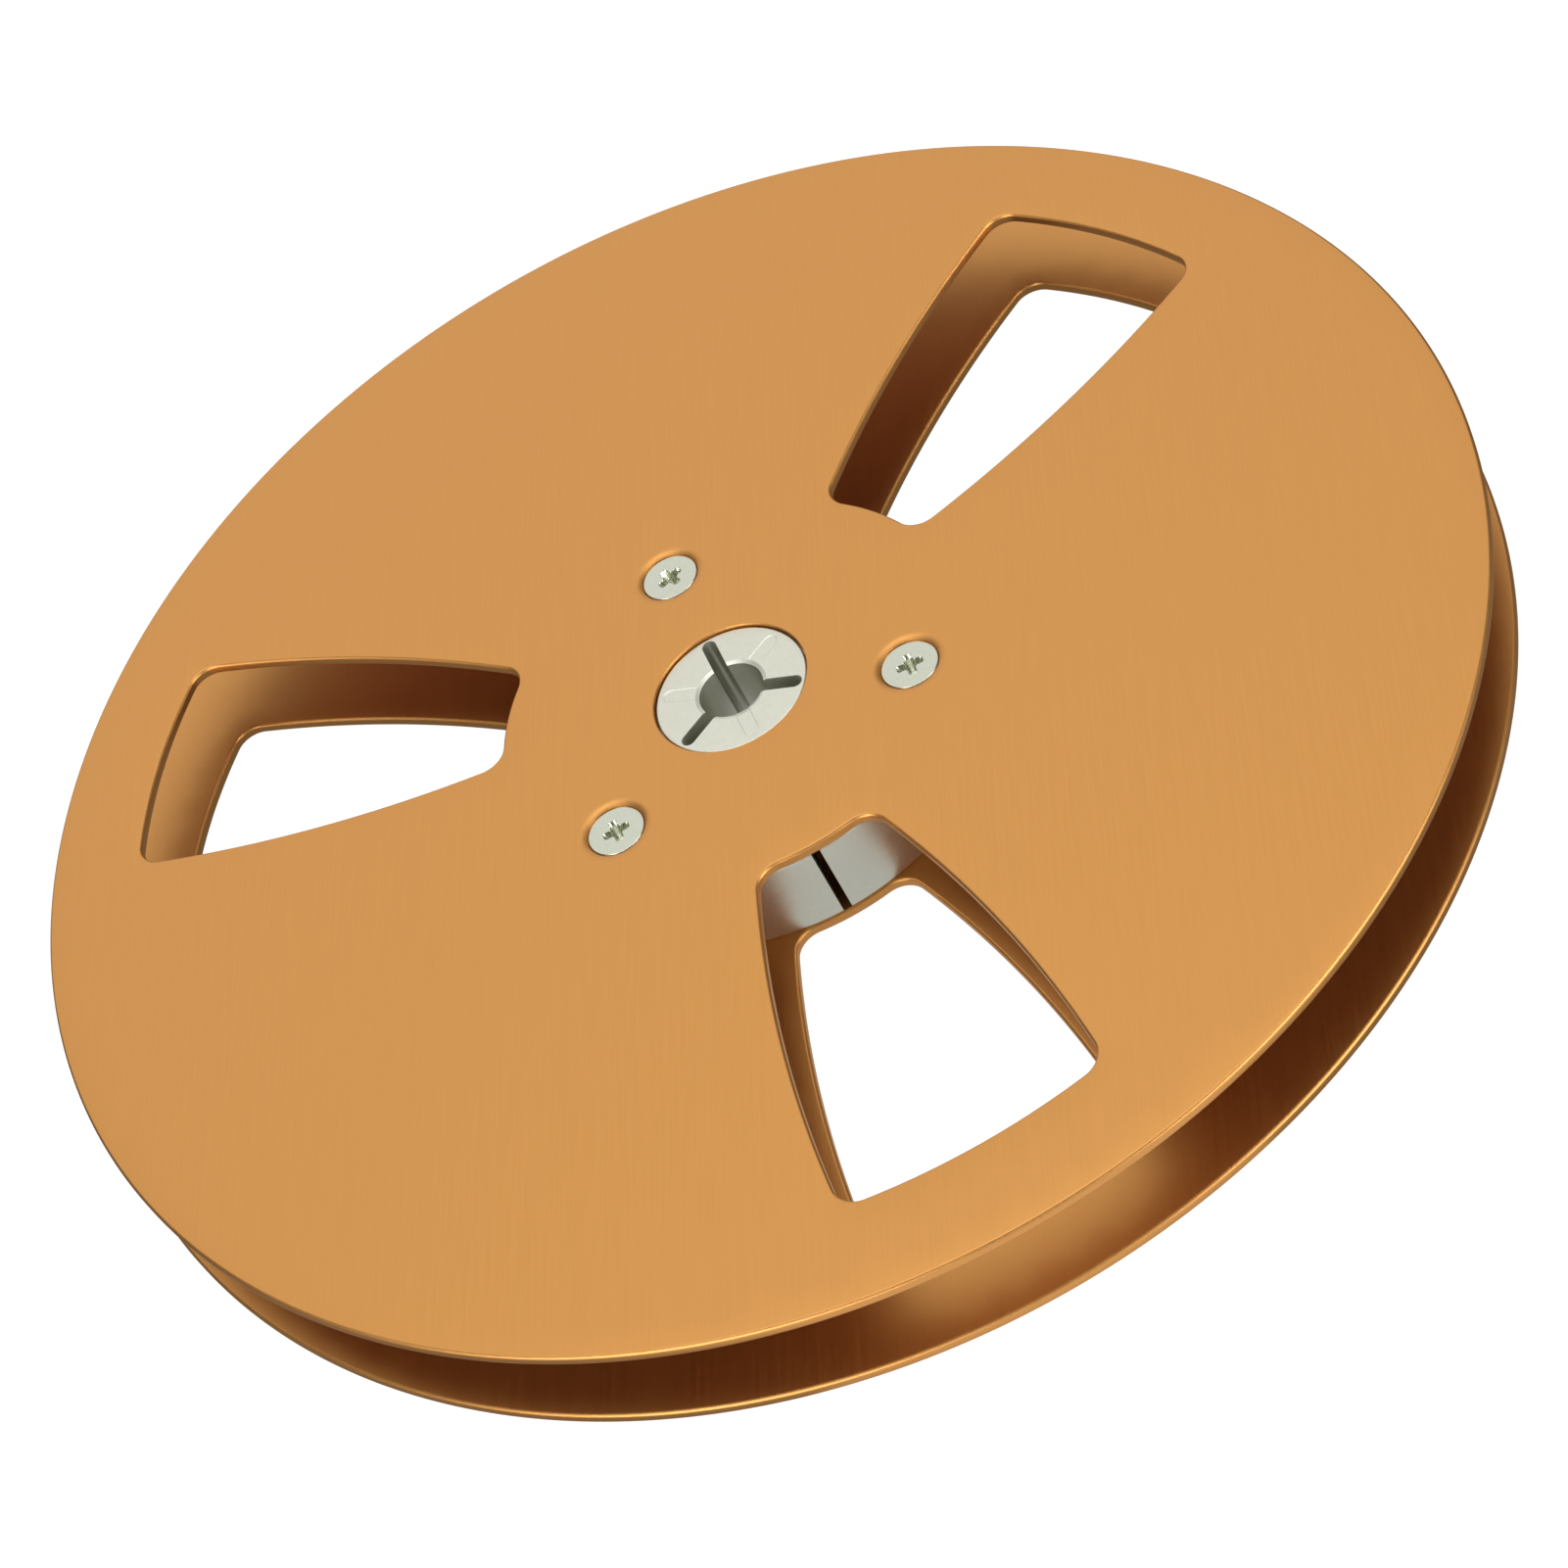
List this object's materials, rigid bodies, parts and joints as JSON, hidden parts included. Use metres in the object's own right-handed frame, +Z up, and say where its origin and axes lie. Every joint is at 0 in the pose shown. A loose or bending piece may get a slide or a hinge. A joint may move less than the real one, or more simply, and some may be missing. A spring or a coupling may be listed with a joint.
{
  "type": "take-up reel",
  "caption": "Flat metal take-up reel: two gold flanges with curved windows, screwed to a silver hub with a keyed spindle bore and a tape slot.",
  "frame": {"origin": "on the reel's axis, at the outer face of the lower flange, where the reel rests", "axes": "+Z up along the reel's axis, +X along the middle of the window that shows the tape slot"},
  "size_m": [0.1778, 0.1778, 0.0135],
  "materials": {
    "flange_gold": "gold anodised, fine straight grain, satin",
    "hub_silver": "clear anodised, fine turned, satin",
    "screw_nickel": "bright nickel plated"
  },
  "bodies": {
    "root": {"hub": "hub_silver", "upper_flange": "flange_gold", "lower_flange": "flange_gold", "upper_screw_1": "screw_nickel", "upper_screw_2": "screw_nickel", "upper_screw_3": "screw_nickel", "lower_screw_1": "screw_nickel", "lower_screw_2": "screw_nickel", "lower_screw_3": "screw_nickel"}
  },
  "joints": []
}
